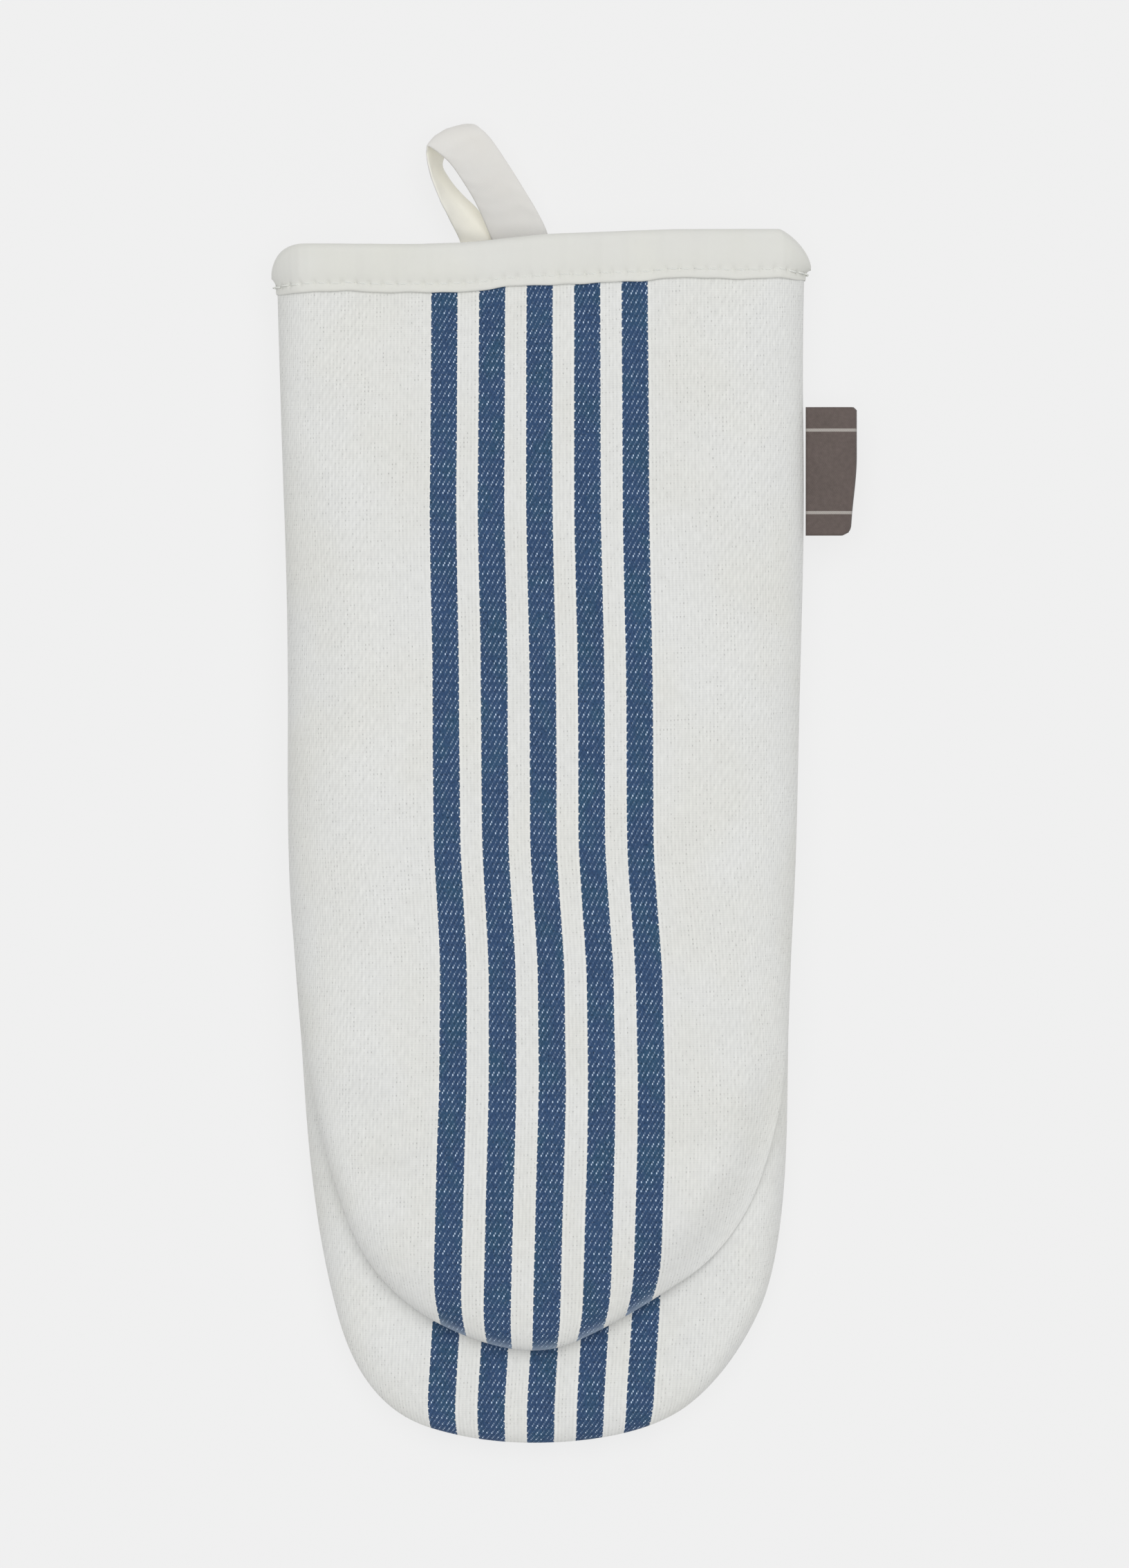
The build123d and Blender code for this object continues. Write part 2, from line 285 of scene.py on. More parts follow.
class Panel:
    """A cut of cloth in plan: rows run from the right edge over the middle line to the left edge.

    Round the tip the rows fan out from the end of the middle line, and the last row of the right
    half is the last row of the left half too, so those points are shared.
    """

    RIM_LINES = np.array([0, 0.1, 0.35, 0.8, 1.5, 2.4, 3.6, 5.2, 7.2, 9.6, 12.4])
    ACROSS = 26  # lines from the rim lines to the middle line, counting the last rim line
    ROW_STEP = 1.9  # between level rows
    TIP_ROWS = 62
    CUFF_ROWS = 60  # level rows, counted from the cuff, that line_at chooses from
    TIP_REACH = 54.0  # from the tip back to the end of the middle line
    GROOVE_DEPTH = 0.6  # where the cloth is pulled in along its seam
    GROOVE_WIDTH = 0.9

    def __init__(self, corners, first_y, seam_z, face_z, upward, turn_y, rim=ROUND_RIM):
        outline = soft_curve(corners, 0.7)
        tip = int(np.argmin(outline[:, 1]))
        right = outline[: tip + 1]
        left = outline[tip:][::-1]
        right, left = (side[side[:, 1] <= first_y + 1e-6] for side in (right, left))
        straight = int((first_y - turn_y) / self.ROW_STEP)
        right, left = (self.divide(side, straight, turn_y) for side in (right, left))
        middle = self.middle_line(right, left, straight)
        inner = np.linspace(0, 1, self.ACROSS)[1:]
        halves = [self.spokes(side, middle, inner) for side in (right, left)]
        self.plan = np.concatenate([halves[0], halves[1][:, -2::-1]], axis=1)
        self.seam_z, self.face_z, self.upward, self.rim = seam_z, face_z, upward, rim
        distance, towards = distance_to(outline, self.plan.reshape(-1, 2))
        self.distance = distance.reshape(self.plan.shape[:2])
        self.outward = towards.reshape(self.plan.shape)
        self.lift = 0.0  # what the cloth simulation adds along Z

    def divide(self, side, straight, turn_y):
        """One edge as rows: level with each other down to turn_y, then evenly spaced to the tip."""
        first = np.linspace(side[0, 1], turn_y, straight, endpoint=False)
        level = np.column_stack([np.interp(-first, -side[:, 1], side[:, 0]), first])
        rest = side[side[:, 1] <= turn_y]
        bend = at_lengths(rest, np.linspace(0, lengths_along(rest)[-1], self.TIP_ROWS))
        return np.concatenate([level, bend])

    def middle_line(self, right, left, straight):
        """Line that the rows of both sides meet on, ending short of the tip."""
        middle = (right + left) / 2
        tip = right[-1]
        start = middle[straight]
        count = len(middle) - straight
        share = np.linspace(0, 1, count)
        end = np.array([tip[0] * 0.5 + start[0] * 0.5, tip[1] + self.TIP_REACH])
        middle[straight:] = start + (end - start) * (1 - (1 - share) ** 1.6)[:, None]
        return middle

    def spokes(self, side, middle, inner):
        """Points from an edge to the middle line, close together at the rim."""
        reach = np.linalg.norm(middle - side, axis=1)
        rim = self.RIM_LINES[None, :] / reach[:, None]
        rest = rim[:, -1:] + (1 - rim[:, -1:]) * inner[None, :]
        share = np.concatenate([rim, rest], axis=1)[:, :, None]
        return side[:, None, :] * (1 - share) + middle[:, None, :] * share

    def reach(self, x, y, height):
        """How far in from its edge the cloth is still rounding over, for its height above the seam."""
        return 3 + 1.15 * height + self.rim[0] * pressed(x, y)

    def surface(self, plan, distance, outward, lift, depth, seam_groove=True):
        """Points a depth inside the outer face; a depth below zero stands proud of it."""
        x, y = plan[..., 0], plan[..., 1]
        seam = self.seam_z(y)
        outer = self.face_z(x, y) + lift
        height = np.abs(outer - seam)
        share = np.clip(distance / self.reach(x, y, height), 0, 1)
        round_edge = np.sqrt(1 - (1 - share) ** 2.5)
        sloped = share * share * (3 - 2 * share)
        rise = round_edge + (sloped - round_edge) * self.rim[1] * pressed(x, y)
        turn = np.sqrt(np.clip(1 - rise**2, 0, 1))
        target = outer - depth if self.upward else outer + depth
        z = seam + (target - seam) * rise
        inward = depth * turn
        if seam_groove and depth < SHELL / 2:
            groove = bell(np.hypot(distance, height * rise), self.GROOVE_WIDTH)
            inward = inward + self.GROOVE_DEPTH * groove * (1 - self.rim[1] * pressed(x, y))
        return np.dstack([plan - outward * inward[..., None], z])

    def face(self, depth):
        """The panel's surface at a depth inside its outer face, as rows of points."""
        flat = self.surface(self.plan, self.distance, self.outward, self.lift, depth)
        return cuff_warp(flat)

    def line_at(self, y, depth):
        """Points across the panel at y, before the cuff is set askew. y is on the level rows."""
        row_y = self.plan[:, 0, 1]
        place = np.interp(-y, -row_y[: self.CUFF_ROWS], np.arange(self.CUFF_ROWS))
        low = min(int(place), self.CUFF_ROWS - 2)
        share = place - low
        plan, distance, outward = (
            (each[low] * (1 - share) + each[low + 1] * share)[None]
            for each in (self.plan, self.distance, self.outward)
        )
        return self.surface(plan, distance, outward, 0.0, depth, seam_groove=False)[0]

    def cloth(self, drift):
        """Cloth coordinates: flat distances, so the weave isn't stretched down the rim."""
        x, y = self.plan[..., 0], self.plan[..., 1]
        height = np.abs(self.face_z(x, y) - self.seam_z(y))
        spare = 0.57 * height * (1 - np.clip(self.distance / self.reach(x, y, height), 0, 1)) ** 3
        across = (x - through(drift, y)) * STRIPE_PITCH / stripe_pitch(y) + self.outward[..., 0] * spare
        return np.dstack([across, y + self.outward[..., 1] * spare])


CUFF_SKEW = [(-82, -2.4), (-42, -2.7), (-27, -2.2), (-6, 0.2), (30, 1.5), (68, 1.6)]
# Each corner of the cuff: where its side is, which way is in, drop, width, and how straight it's cut.
CUFF_CORNERS = ((-81.8, 1, 7.2, 9.0, 0.0), (68.6, -1, 8.2, 9.0, 0.75))


def cuff_warp(points):
    """The cuff's edge is a little askew, and the side seams pull its corners down."""
    x, y = points[..., 0], points[..., 1]
    drop = 0.0
    for side, inward, depth, radius, cut in CUFF_CORNERS:
        share = np.clip(1 - (x - side) * inward / radius, 0, 1)
        drop = drop + depth * (cut * share**1.3 + (1 - cut) * (1 - np.sqrt(1 - share**2)))
    warped = points.copy()
    warped[..., 1] = y + through(CUFF_SKEW, x) * smooth(y, 100, 146) - drop * smooth(y, 137, 153)
    return warped


# ---- Meshes ----
def make_piece(name, points, faces, material, cloth=None, extra_materials=(), face_material=None,
               turn=None):
    """Mesh object from points in millimetres, with cloth coordinates in metres as its UV map."""
    mesh = bpy.data.meshes.new(name)
    mesh.from_pydata((np.asarray(points, float) * MM).tolist(), [], faces)
    if cloth is not None:
        layer = mesh.uv_layers.new(name="cloth")
        loops = np.empty(len(mesh.loops), np.int32)
        mesh.loops.foreach_get("vertex_index", loops)
        layer.data.foreach_set("uv", (np.asarray(cloth, float)[loops] * MM).ravel())
    # turn holds, for each point, how far the blue stripes are painted paler: stretched weave and a painted
    # highlight where the cloth turns over a rim.
    if turn is not None:
        mesh.attributes.new("turn", "FLOAT", "POINT").data.foreach_set("value", np.asarray(turn, float))
    for each in (material, *extra_materials):
        mesh.materials.append(each)
    if face_material is not None:
        mesh.polygons.foreach_set("material_index", np.asarray(face_material, np.int32))
    mesh.polygons.foreach_set("use_smooth", np.ones(len(mesh.polygons), bool))
    mesh.update()
    piece = bpy.data.objects.new(name, mesh)
    bpy.context.scene.collection.objects.link(piece)
    return piece


def grid_index(rows, columns):
    """Point numbers of a panel's grid, with the last row's two halves as one."""
    index = np.arange(rows * columns).reshape(rows, columns)
    index[-1, columns // 2 + 1 :] = index[-1, : columns // 2][::-1]
    return index


def grid_quads(index):
    quads = np.stack([index[:-1, :-1], index[:-1, 1:], index[1:, 1:], index[1:, :-1]], axis=-1)
    return quads.reshape(-1, 4)


def wrapped_quads(rows, sides):
    """Faces of a skin of rows of points, each row closed on itself, and the numbers of its points."""
    index = np.arange(rows * sides).reshape(rows, sides)
    beside = np.roll(index, -1, axis=1)
    quads = np.stack([index[:-1], beside[:-1], beside[1:], index[1:]], axis=-1)
    return quads.reshape(-1, 4).tolist(), index


def used_points(points, faces):
    """Which points the faces use, and the faces renumbered to them."""
    used = np.unique(faces)
    lookup = np.full(len(points), -1)
    lookup[used] = np.arange(len(used))
    return used, lookup[faces]


def closed_skin(top, bottom, cloth, upward):
    """Points, faces and cloth coordinates of a closed layer, and which grid point each one is."""
    index = grid_index(*top.shape[:2])
    shift = index.size
    quads = grid_quads(index)
    rim = np.concatenate([index[0, ::-1], index[1:, 0], index[-2:0:-1, -1]])
    if not upward:
        quads, rim = quads[:, ::-1], rim[::-1]
    after = np.roll(rim, -1)
    walls = np.stack([after, rim, rim + shift, after + shift], axis=-1)
    points = np.concatenate([top.reshape(-1, 3), bottom.reshape(-1, 3)])
    used, faces = used_points(points, np.concatenate([quads, quads[:, ::-1] + shift, walls]))
    return points[used], faces.tolist(), np.tile(cloth.reshape(-1, 2), (2, 1))[used], used % shift


def tube_grid(path, radius, sides=8):
    """Points and faces of a round tube with closed ends along a path in millimetres."""
    path = np.asarray(path, float)
    along = np.gradient(path, axis=0)
    along /= np.linalg.norm(along, axis=1)[:, None]
    helper = np.array([0.0, 0.0, 1.0])
    side = np.cross(along, helper)
    weak = np.linalg.norm(side, axis=1) < 0.2
    side[weak] = np.cross(along[weak], [0.0, 1.0, 0.0])
    side /= np.linalg.norm(side, axis=1)[:, None]
    up = np.cross(side, along)
    turn = np.linspace(0, math.tau, sides, endpoint=False)
    radius = np.broadcast_to(radius, len(path))
    rings = path[:, None] + radius[:, None, None] * (
        np.cos(turn)[None, :, None] * side[:, None] + np.sin(turn)[None, :, None] * up[:, None]
    )
    faces, index = wrapped_quads(len(path), sides)
    return rings.reshape(-1, 3).tolist(), faces + [index[0, ::-1].tolist(), index[-1].tolist()]


def tubes(name, paths, radius, material, sides=8):
    """Several closed tubes in one piece."""
    points, faces, cloth = [], [], []
    for path in paths:
        more, tied = tube_grid(path, radius, sides)
        faces += [[i + len(points) for i in face] for face in tied]
        points += more
        cloth += [
            (k // sides * RING_LENGTH, k % sides * math.tau * radius / sides) for k in range(len(more))
        ]
    return make_piece(name, points, faces, material, cloth)


# ---- Materials ----
def set_inputs(node, values):
    for name, value in values.items():
        node.inputs[name].default_value = value


def written_as(operation):
    """Method that writes an operation on signals and numbers as a math node."""
    return lambda self, *others: self.graph.math(operation, self, *others)


class Signal:
    """A node's output that can be written in sums, as numbers are."""

    def __init__(self, graph, socket):
        self.graph, self.socket = graph, socket

    __add__ = __radd__ = written_as("ADD")
    __mul__ = __rmul__ = written_as("MULTIPLY")
    __sub__ = written_as("SUBTRACT")
    __truediv__ = written_as("DIVIDE")
    fraction = written_as("FRACT")
    floor = written_as("FLOOR")
    size = written_as("ABSOLUTE")
    sign = written_as("SIGN")
    nearest = written_as("ROUND")

    def __rsub__(self, other):
        return self.graph.math("SUBTRACT", other, self)

    def wave(self):
        """Sine of this many turns."""
        return self.graph.math("SINE", self * math.tau)

    def ramp(self, low, high):
        """0 at low, 1 at high and an even S between."""
        node = self.graph.node("ShaderNodeMapRange")
        node.interpolation_type = "SMOOTHSTEP"
        for name, value in (("Value", self), ("From Min", low), ("From Max", high)):
            self.graph.put(node.inputs[name], value)
        return Signal(self.graph, node.outputs["Result"])


class Fabric:
    """A cloth material: its graph, the cloth coordinates in millimetres, and its shader."""

    def __init__(self, name, roughness, sheen):
        self.material = bpy.data.materials.new(name)
        self.material.use_nodes = True
        self.tree = self.material.node_tree
        self.tree.nodes.clear()
        self.shader = self.node("ShaderNodeBsdfPrincipled")
        set_inputs(self.shader, {"Roughness": roughness, "Specular IOR Level": 0.18})
        set_inputs(self.shader, {"Sheen Weight": sheen, "Sheen Roughness": 0.45})
        output = self.node("ShaderNodeOutputMaterial")
        self.tree.links.new(output.inputs["Surface"], self.shader.outputs["BSDF"])
        uv = self.node("ShaderNodeUVMap")
        uv.uv_map = "cloth"
        split = self.node("ShaderNodeSeparateXYZ")
        self.tree.links.new(split.inputs[0], uv.outputs[0])
        self.across = Signal(self, split.outputs["X"]) * 1000.0
        self.along = Signal(self, split.outputs["Y"]) * 1000.0

    def node(self, kind):
        return self.tree.nodes.new(kind)

    def put(self, socket, value):
        """Fills a socket with a number or a colour, or links a signal or another socket to it."""
        if isinstance(value, Signal):
            value = value.socket
        if isinstance(value, bpy.types.NodeSocket):
            self.tree.links.new(socket, value)
        elif socket.type == "RGBA":
            socket.default_value = (*value, 1.0)
        else:
            socket.default_value = value

    def math(self, operation, *values):
        node = self.node("ShaderNodeMath")
        node.operation = operation
        for socket, value in zip(node.inputs, values):
            self.put(socket, value)
        return Signal(self, node.outputs[0])

    def vector(self, x, y):
        node = self.node("ShaderNodeCombineXYZ")
        self.put(node.inputs["X"], x)
        self.put(node.inputs["Y"], y)
        return node.outputs[0]

    def noise(self, size, stretch=1.0, detail=2.0):
        """Soft noise between 0 and 1 with blobs of that size in millimetres, longer along the cloth."""
        node = self.node("ShaderNodeTexNoise")
        set_inputs(node, {"Scale": 1.0, "Detail": detail})
        self.put(node.inputs["Vector"], self.vector(self.across / size, self.along / (size * stretch)))
        return Signal(self, node.outputs["Fac"])

    def mottle(self, amount, size, stretch=1.0):
        """Soft noise about zero, half the amount up and half of it down."""
        return (self.noise(size, stretch) - 0.5) * amount

    def chance(self, first, second):
        """A number from 0 to 1 for each pair of whole numbers."""
        node = self.node("ShaderNodeTexWhiteNoise")
        node.noise_dimensions = "2D"
        self.put(node.inputs["Vector"], self.vector(first, second))
        return Signal(self, node.outputs["Value"])

    def mix(self, share, first, second):
        """Blend of two colours, each a colour or the output of another mix."""
        node = self.node("ShaderNodeMix")
        node.data_type = "RGBA"
        for name, value in (("Factor", share), ("A", first), ("B", second)):
            self.put(node.inputs[name], value)
        return node.outputs["Result"]

    def attribute(self, name):
        """A number kept at each point of the mesh, 0 where there is none."""
        node = self.node("ShaderNodeAttribute")
        node.attribute_name = name
        return Signal(self, node.outputs["Fac"])

    def shade(self, colour, brightness):
        """A colour times a brightness near 1."""
        node = self.node("ShaderNodeVectorMath")
        node.operation = "SCALE"
        self.put(node.inputs[0], colour)
        self.put(node.inputs["Scale"], brightness)
        return node.outputs[0]

    def finish(self, colour, height, strength, distance):
        """Colour and relief of the surface; height runs from 0 to 1 over distance millimetres."""
        self.put(self.shader.inputs["Base Color"], colour)
        bump = self.node("ShaderNodeBump")
        set_inputs(bump, {"Strength": strength, "Distance": distance * MM})
        self.put(bump.inputs["Height"], height)
        self.tree.links.new(self.shader.inputs["Normal"], bump.outputs["Normal"])
        return self.material


def plain_weave(cloth, pitch):
    """Height of crossing threads, between 0 and 1."""
    over = (cloth.across / pitch).wave() * (cloth.along / pitch).wave()
    return over * 0.5 + 0.5


WHITE = (0.746, 0.752, 0.736)
CREAM = (0.736, 0.738, 0.706)
BLUE = (0.034, 0.073, 0.160)
TEAL = (0.031, 0.080, 0.152)
SPECK = (0.58, 0.70, 0.86)
WARP_PITCH = 0.34  # threads of the blue twill
TWILL_STEP = 0.62  # from one thread's speck up to the next one's
TWILL_REPEAT = 2.48  # between the specks of one thread
SPECK_WIDTH = 0.23
SPECK_LENGTH = 0.34
RIB_PITCH = 1.0
STRIPE_COUNT = 5
LABEL_LINE = 0.35  # half the width of the label's pale lines
LABEL_LINE_PLACE = 11.5  # from the label's middle to each line


def blue_bands(cloth, across, along):
    """Where the cloth is blue, its edges nicked by the weft, and the paler line beside it."""
    nearest = (across / STRIPE_PITCH).nearest()
    aside = across - nearest * STRIPE_PITCH
    outermost = STRIPE_COUNT // 2
    real = 1.0 - nearest.size().ramp(outermost + 0.4, outermost + 0.6)
    side = aside.sign()
    tooth = along / TWILL_REPEAT + side * 0.2
    nick = (tooth.fraction() - 0.5).size() * TWILL_REPEAT
    bite = 0.16 + cloth.chance(tooth.floor(), nearest * 2.0 + side) * 0.24
    edge = STRIPE_WIDTH / 2 - (1.0 - nick.ramp(0.05, 0.34)) * bite + cloth.mottle(0.3, 0.9)
    outside = aside.size() - edge
    blue = (1.0 - outside.ramp(-0.1, 0.1)) * real
    halo = outside.ramp(0.0, 0.15) * (1.0 - outside.ramp(0.45, 0.9)) * real
    return blue, halo


def blue_twill(cloth, across, along):
    """Colour and relief: each thread shows one white speck per repeat, a step above the last one's."""
    thread = (across / WARP_PITCH).floor()
    beside = ((across / WARP_PITCH).fraction() - 0.5) * (WARP_PITCH / SPECK_WIDTH)
    rise = (along - thread * TWILL_STEP) / TWILL_REPEAT
    climb = (rise.fraction() - 0.5) * (TWILL_REPEAT / SPECK_LENGTH)
    dot = 1.0 - (beside * beside + climb * climb).ramp(0.05, 1.25)
    dim = (thread / 4.0 + 0.05).fraction().ramp(0.15, 0.7)
    luck = cloth.chance(thread, rise.floor())
    luck = luck * luck * 0.85
    speck = dot * (1.0 - dim * 0.85) * (luck + cloth.noise(2.0, 1.3, 2.0).ramp(0.36, 0.62) * 0.5)
    shade_line = along / TWILL_REPEAT - across * (TWILL_STEP / WARP_PITCH / TWILL_REPEAT)
    line = shade_line.wave() * 0.5 + 0.5
    stroke = cloth.noise(0.34, 2.2, 1.0).ramp(0.52, 0.72)
    depth = 0.96 + line * 0.12 - stroke * 0.42 + cloth.mottle(0.55, 0.6, 1.3)
    depth = depth + cloth.mottle(0.3, 14, 2.0)
    dye = cloth.mix(cloth.noise(8, 1.5).ramp(0.42, 0.7), BLUE, TEAL)
    denim = cloth.mix(speck, cloth.shade(dye, depth), SPECK)
    # Near the thumb tip's rim the blue is mixed towards the speck colour: stretched weave showing white,
    # with a painted highlight where the cloth turns over.
    denim = cloth.mix(cloth.attribute("turn") * 0.42, denim, SPECK)
    return denim, line * 0.3 + speck * 0.25 - 0.2


def white_ground(cloth, across, along, halo):
    """Colour and relief: upright ribs with pinholes between them, and a faint slanting twill."""
    rib = (across / RIB_PITCH).wave()
    row = (along / TWILL_STEP).wave()
    rib_number = (across / RIB_PITCH - 0.25).floor()
    hole_across = (across / RIB_PITCH - 0.25).fraction() - 0.5
    hole_row = (along - rib_number * 1.3) / (TWILL_REPEAT / 2)
    hole_along = hole_row.fraction() - 0.5
    hole = 1.0 - (hole_across * hole_across * 34.0 + hole_along * hole_along * 14.0).ramp(0.1, 1.1)
    hole = hole * cloth.chance(rib_number, hole_row.floor()).ramp(0.35, 1.1)
    hole = hole * (cloth.noise(3.4, 3.0).ramp(0.35, 0.66) * 0.8 + 0.2)
    slant = (across / 2.1 - along / 3.4).wave() * across.size().ramp(34, 56)
    bright = 1.008 + rib * 0.030 + row * 0.018 + slant * 0.020 - hole * 0.34 + halo * 0.05
    bright = bright + cloth.mottle(0.20, 0.8, 3.5) + cloth.mottle(0.06, 3.2, 1.4)
    bright = bright + cloth.mottle(0.03, 11, 1.4) + cloth.mottle(0.035, 45)
    white = cloth.shade(cloth.mix(cloth.noise(30, 1.2).ramp(0.35, 0.7), WHITE, CREAM), bright)
    return white, rib * 0.10 + row * 0.08 + slant * 0.12 - hole * 0.5


def striped_twill():
    """White cotton with five blue twill stripes."""
    cloth = Fabric("striped_twill", roughness=0.9, sheen=0.08)
    across = cloth.across + cloth.mottle(0.5, 26, 2.5)
    along = cloth.along + cloth.mottle(0.6, 17)
    blue, halo = blue_bands(cloth, across, along)
    denim, blue_relief = blue_twill(cloth, across, along)
    white, white_relief = white_ground(cloth, across, along, halo)
    height = 0.5 + white_relief * (1.0 - blue) + blue_relief * blue + cloth.noise(0.7) * 0.4
    return cloth.finish(cloth.mix(blue, white, denim), height, strength=0.6, distance=0.12)


def plain_cotton(name, colour, pitch, relief, warmth=(0.0, 0.0, 0.0)):
    """Plain-woven cotton: threads, uneven slubs and soft mottling."""
    cloth = Fabric(name, roughness=0.88, sheen=0.12)
    weave = plain_weave(cloth, pitch)
    slub = cloth.noise(pitch * 2, 9.0).ramp(0.55, 0.8) + cloth.noise(pitch * 14, 0.1).ramp(0.6, 0.85)
    bright = 0.985 + weave * 0.022 + cloth.mottle(0.025, 2.2) + cloth.mottle(0.045, 16)
    tinted = tuple(c * (1 + w) for c, w in zip(colour, warmth))
    tone = cloth.mix(cloth.noise(22).ramp(0.3, 0.75), colour, tinted)
    height = weave * 0.6 + slub * 0.2 + cloth.noise(0.9) * 0.25
    return cloth.finish(cloth.shade(tone, bright), height, strength=0.5, distance=relief)


def batting_fleece():
    """Needled batting: tangled fibres with pits from the needles."""
    cloth = Fabric("batting", roughness=1.0, sheen=0.3)
    fibre = cloth.noise(1.1, 0.4, 6.0)
    tuft = cloth.noise(7, 1.0, 3.0)
    tone = cloth.mix(tuft.ramp(0.3, 0.7), (0.74, 0.73, 0.68), (0.68, 0.66, 0.60))
    height = fibre * 0.6 + tuft * 0.8
    return cloth.finish(cloth.shade(tone, 0.9 + fibre * 0.2), height, strength=0.8, distance=0.5)


def sewing_thread():
    """Two-ply thread: a fine slanting twist along each stitch."""
    cloth = Fabric("sewing_thread", roughness=0.6, sheen=0.1)
    twist = (cloth.across * 1.4 + cloth.along * 3.0).wave() * 0.5 + 0.5
    tone = cloth.mix(twist, (0.74, 0.75, 0.71), (0.84, 0.85, 0.81))
    return cloth.finish(tone, twist, strength=0.6, distance=0.08)


def label_weave():
    """Brown woven tape with a fine diagonal rib and two thin pale lines."""
    cloth = Fabric("label_weave", roughness=0.75, sheen=0.15)
    rib = (cloth.across / 0.55 + cloth.along / 0.42).wave() * 0.5 + 0.5
    thread = plain_weave(cloth, 0.3)
    depth = 0.8 + rib * 0.3 + cloth.mottle(0.4, 1.2) + cloth.mottle(0.2, 8)
    ground = cloth.shade((0.135, 0.108, 0.099), depth)
    middle = (LABEL_LOW_Y + LABEL_HIGH_Y) / 2
    lines = 0.0
    for place in (-LABEL_LINE_PLACE, LABEL_LINE_PLACE):
        aside = (cloth.along - (middle + place)).size()
        lines = (1.0 - aside.ramp(LABEL_LINE, LABEL_LINE + 0.15)) + lines
    lines = lines * (0.65 + rib * 0.35)
    height = rib * 0.5 + thread * 0.3 + lines * 0.4
    return cloth.finish(cloth.mix(lines, ground, (0.47, 0.44, 0.41)), height, strength=0.6, distance=0.08)


TWILL = striped_twill()
BATTING = batting_fleece()
LINING = plain_cotton("lining_cotton", (0.78, 0.78, 0.75), 0.5, 0.06, (0.0, -0.01, -0.03))
BINDING_CLOTH = plain_cotton("binding_cotton", (0.743, 0.744, 0.709), 0.42, 0.05, (0.0, 0.0, -0.02))
LOOP_CLOTH = plain_cotton("loop_tape", (0.762, 0.752, 0.728), 0.42, 0.05, (0.0, -0.01, -0.03))
# Copy of the loop tape, lighter and yellower: painted warm bounce light on the tape's inner faces.
LOOP_BOUNCE_LIT = plain_cotton("loop_tape_bounce_lit", (0.86, 0.845, 0.78), 0.42, 0.07, (0.0, -0.01, -0.05))
THREAD = sewing_thread()
LABEL = label_weave()


def bend_with_thumb(piece):
    """Bakes the piece's placement into its points and leaves it unattached to any body."""
    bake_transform(piece)


def bend_at_the_cuff(piece):
    """Bakes the piece's placement into its points and leaves it unattached to any body."""
    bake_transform(piece)


def ride_on(body):
    """Placement of a piece that moves with one body."""
    return lambda piece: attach(piece, body)


def settle(piece, place, slot, *nodes):
    """Gives a finished piece its body and hides the CAD nodes it stands for; slot is not used."""
    place(piece)
    if nodes:
        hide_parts(*nodes)
    return piece


# ---- Cloth simulation ----
def simulate(panel, pressure, limit, thin=3, frames=20):
    """Inflates a coarse copy of the panel, held at its seams, and keeps how far the cloth moved in Z."""
    start = panel.face(0)
    rows, columns = start.shape[:2]
    row_picks = np.unique(np.append(np.arange(0, rows, thin), rows - 1))
    middle = columns // 2
    # Few of the close rim lines, then every thin-th line, and the middle line.
    half = np.unique(np.concatenate([[0, 4, 7, 9], np.arange(10, middle, thin), [middle]]))
    column_picks = np.unique(np.concatenate([half, columns - 1 - half]))
    coarse = start[np.ix_(row_picks, column_picks)]
    index = grid_index(*coarse.shape[:2])
    used, faces = used_points(coarse.reshape(-1, 3), grid_quads(index))
    points = coarse.reshape(-1, 3)[used]
    piece = make_piece("cloth_trial", points, faces.tolist(), TWILL)
    held = np.isin(used, np.concatenate([index[0], index[:, 0], index[:, -1]]))
    group = piece.vertex_groups.new(name="seams")
    group.add([int(i) for i in np.flatnonzero(held)], 1.0, "REPLACE")
    settings = piece.modifiers.new("cloth", "CLOTH").settings
    settings.quality = 6
    settings.mass = 0.25
    settings.tension_stiffness = settings.compression_stiffness = 12
    settings.shear_stiffness = 6
    settings.bending_stiffness = 0.6
    settings.vertex_group_mass = "seams"
    settings.use_pressure = True
    settings.uniform_pressure_force = pressure
    settings.shrink_min = -0.012
    settings.effector_weights.gravity = 0
    scene = bpy.context.scene
    for frame_number in range(1, frames + 1):
        scene.frame_set(frame_number)
    shape = piece.evaluated_get(bpy.context.evaluated_depsgraph_get()).data
    moved = np.empty(len(shape.vertices) * 3)
    shape.vertices.foreach_get("co", moved)
    rise = np.zeros(index.size)
    rise[used] = moved.reshape(-1, 3)[:, 2] / MM - points[:, 2]
    rise = rise[index]
    rise = limit * np.tanh(rise / limit)
    across = np.array([np.interp(np.arange(columns), column_picks, row) for row in rise])
    lift = np.array([np.interp(np.arange(rows), row_picks, column) for column in across.T]).T
    for _ in range(4):
        lift[1:-1] = (lift[:-2] + 2 * lift[1:-1] + lift[2:]) / 4
        lift[:, 1:-1] = (lift[:, :-2] + 2 * lift[:, 1:-1] + lift[:, 2:]) / 4
    bpy.data.objects.remove(piece, do_unlink=True)
    scene.frame_set(1)
    print(f"simulated: moved {lift.min():.2f} to {lift.max():.2f} mm")
    return lift


# ---- Panels of the mitt ----
FINGER_OUTLINE = RIGHT_SIDE + FINGER_TIP + LEFT_SIDE
THUMB_OUTLINE = RIGHT_SIDE + THUMB_TIP + LEFT_SIDE
back = Panel(FINGER_OUTLINE, CUFF_Y, finger_seam_z, back_low, False, -122)
front = Panel(THUMB_OUTLINE, CUFF_Y, thumb_seam_z, front_top, True, -96, PRESSED_FRONT)
palm_finger = Panel(FINGER_OUTLINE, WEB_Y, finger_seam_z, finger_top, True, -122, FILLED_OUT)
palm_thumb = Panel(THUMB_OUTLINE, WEB_Y, thumb_seam_z, thumb_low, False, -96, PRESSED_PALM)

front.lift = simulate(front, pressure=3.0, limit=1.6) * smooth(front.plan[..., 1], 139, 112)


FOLD_TURNS = np.linspace(math.pi, 0, 12)[:-1]
FOLD_LENGTH = 1.6  # of the cloth round the fold


